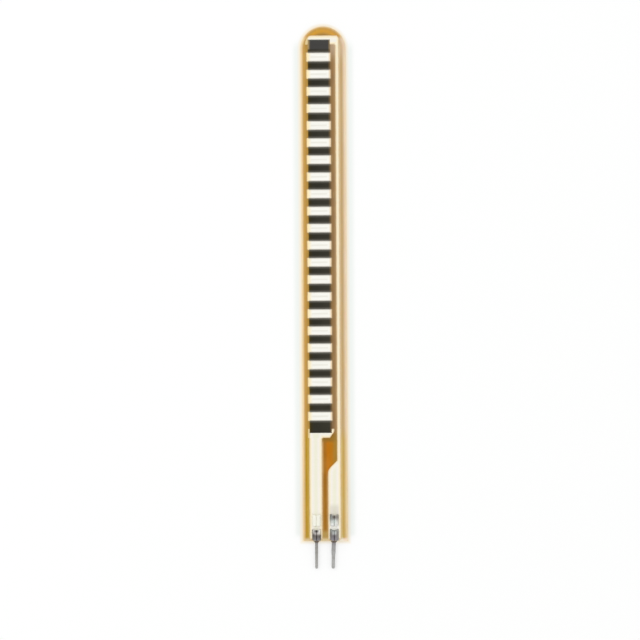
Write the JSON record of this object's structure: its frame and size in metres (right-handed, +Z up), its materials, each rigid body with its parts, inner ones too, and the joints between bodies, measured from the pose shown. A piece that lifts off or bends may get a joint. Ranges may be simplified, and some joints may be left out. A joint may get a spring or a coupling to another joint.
{
  "type": "flex sensor",
  "caption": "Slim amber film strip with a half-round tip, a printed segmented resistor whose resistance rises as it bends, and crimped solder pins at its square end.",
  "frame": {"origin": "on the surface that the strip lies on, under the middle of its whole length with pins", "axes": "+X across the strip towards the thin return line, +Y towards the rounded tip, +Z up off the printed face"},
  "size_m": [0.0064, 0.0776, 0.0009],
  "materials": {
    "amber_film": "satin",
    "silver_ink": "matt",
    "carbon_ink": "matt",
    "tinned_metal": "satin"
  },
  "bodies": {
    "root": {"base_film": "amber_film", "carbon_strip": "carbon_ink", "lead_conductor": "silver_ink", "return_conductor": "silver_ink", "silver_bar_01": "silver_ink", "silver_bar_02": "silver_ink", "silver_bar_03": "silver_ink", "silver_bar_04": "silver_ink", "silver_bar_05": "silver_ink", "silver_bar_06": "silver_ink", "silver_bar_07": "silver_ink", "silver_bar_08": "silver_ink", "silver_bar_09": "silver_ink", "silver_bar_10": "silver_ink", "silver_bar_11": "silver_ink", "silver_bar_12": "silver_ink", "silver_bar_13": "silver_ink", "silver_bar_14": "silver_ink", "silver_bar_15": "silver_ink", "silver_bar_16": "silver_ink", "silver_bar_17": "silver_ink", "silver_bar_18": "silver_ink", "silver_bar_19": "silver_ink", "silver_bar_20": "silver_ink", "silver_bar_21": "silver_ink", "silver_bar_22": "silver_ink", "lead_terminal": "tinned_metal", "return_terminal": "tinned_metal"}
  },
  "joints": []
}
